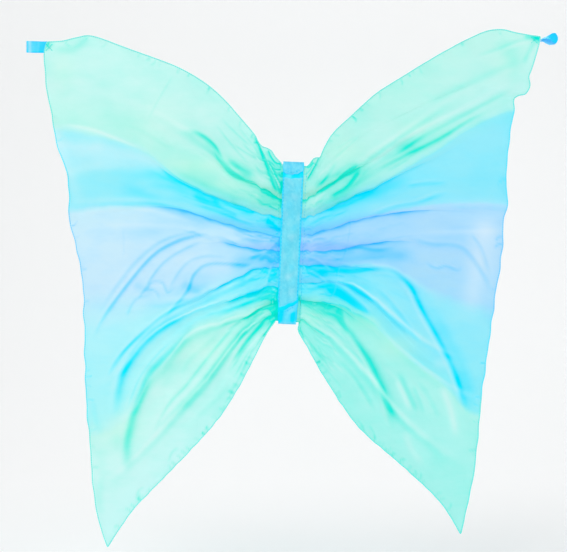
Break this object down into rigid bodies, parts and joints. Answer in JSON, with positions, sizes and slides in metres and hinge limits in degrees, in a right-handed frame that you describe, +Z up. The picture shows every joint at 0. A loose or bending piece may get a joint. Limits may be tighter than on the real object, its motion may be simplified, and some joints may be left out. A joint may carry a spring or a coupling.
{
  "type": "costume fairy wings",
  "caption": "Pleated dyed-silk costume wings sewn into an upright satin centre band, with elastic shoulder loops behind and ribbon finger loops at the upper corners.",
  "frame": {"origin": "centre of the back face of the sewn centre band, the face that lies on the wearer", "axes": "+Z up as worn, -Y out of the decorated face, +Y towards the wearer, +X to the right of someone who looks at the decorated face"},
  "size_m": [0.6369, 0.0708, 0.6261],
  "materials": {
    "satin_ribbon_front": "satin",
    "satin_ribbon_back": "satin",
    "silk_pleats": "satin",
    "dyed_silk": "satin",
    "rolled_hem": "matte",
    "sewing_thread": "matte",
    "knit_elastic": "matte",
    "loop_ribbon": "satin"
  },
  "bodies": {
    "band": {"band_front_ribbon": "satin_ribbon_front", "band_back_ribbon": "satin_ribbon_back", "left_pleat_heading": "silk_pleats", "right_pleat_heading": "silk_pleats", "left_front_topstitch": "sewing_thread", "right_front_topstitch": "sewing_thread", "left_back_topstitch": "sewing_thread", "right_back_topstitch": "sewing_thread", "top_flap_stitch": "sewing_thread", "bottom_flap_stitch": "sewing_thread", "left_elastic_end_top": "knit_elastic", "left_elastic_end_bottom": "knit_elastic", "right_elastic_end_top": "knit_elastic", "right_elastic_end_bottom": "knit_elastic", "left_elastic_tack_top": "sewing_thread", "left_elastic_tack_bottom": "sewing_thread", "right_elastic_tack_top": "sewing_thread", "right_elastic_tack_bottom": "sewing_thread"},
    "left_wing": {"left_wing_silk": "dyed_silk", "left_rolled_hem": "rolled_hem", "left_pleat_stitch": "sewing_thread", "left_finger_loop_tail": "loop_ribbon", "left_loop_cross_stitch": "sewing_thread"},
    "right_wing": {"right_wing_silk": "dyed_silk", "right_rolled_hem": "rolled_hem", "right_pleat_stitch": "sewing_thread", "right_finger_loop_tail": "loop_ribbon", "right_loop_cross_stitch": "sewing_thread"},
    "left_elastic": {"left_shoulder_elastic": "knit_elastic"},
    "right_elastic": {"right_shoulder_elastic": "knit_elastic"},
    "left_loop": {"left_finger_loop": "loop_ribbon"},
    "right_loop": {"right_finger_loop": "loop_ribbon"}
  },
  "joints": [
    {"name": "left_wing_fold", "type": "hinge", "parent": "band", "child": "left_wing", "pos_m": [-0.01319, -0.00155, 0.00055], "axis": [0.0419, 0, 0.9991], "range_deg": [-35, 80]},
    {"name": "right_wing_fold", "type": "hinge", "parent": "band", "child": "right_wing", "pos_m": [0.01319, -0.00155, -0.00055], "axis": [-0.0419, 0, -0.9991], "range_deg": [-35, 80]},
    {"name": "left_shoulder_loop_swing", "type": "hinge", "parent": "band", "child": "left_elastic", "pos_m": [-0.00649, 0.0026, 0.00027], "axis": [0.0419, 0, 0.9991], "range_deg": [-20, 24]},
    {"name": "right_shoulder_loop_swing", "type": "hinge", "parent": "band", "child": "right_elastic", "pos_m": [0.00649, 0.0026, -0.00027], "axis": [-0.0419, 0, -0.9991], "range_deg": [-20, 24]},
    {"name": "left_finger_loop_swing", "type": "hinge", "parent": "left_wing", "child": "left_loop", "pos_m": [-0.3, -0.00025, 0.235], "axis": [0, 0, 1], "range_deg": [-80, 80]},
    {"name": "right_finger_loop_swing", "type": "hinge", "parent": "right_wing", "child": "right_loop", "pos_m": [0.3045, -0.00025, 0.245], "axis": [0, 0, -1], "range_deg": [-80, 80]}
  ]
}
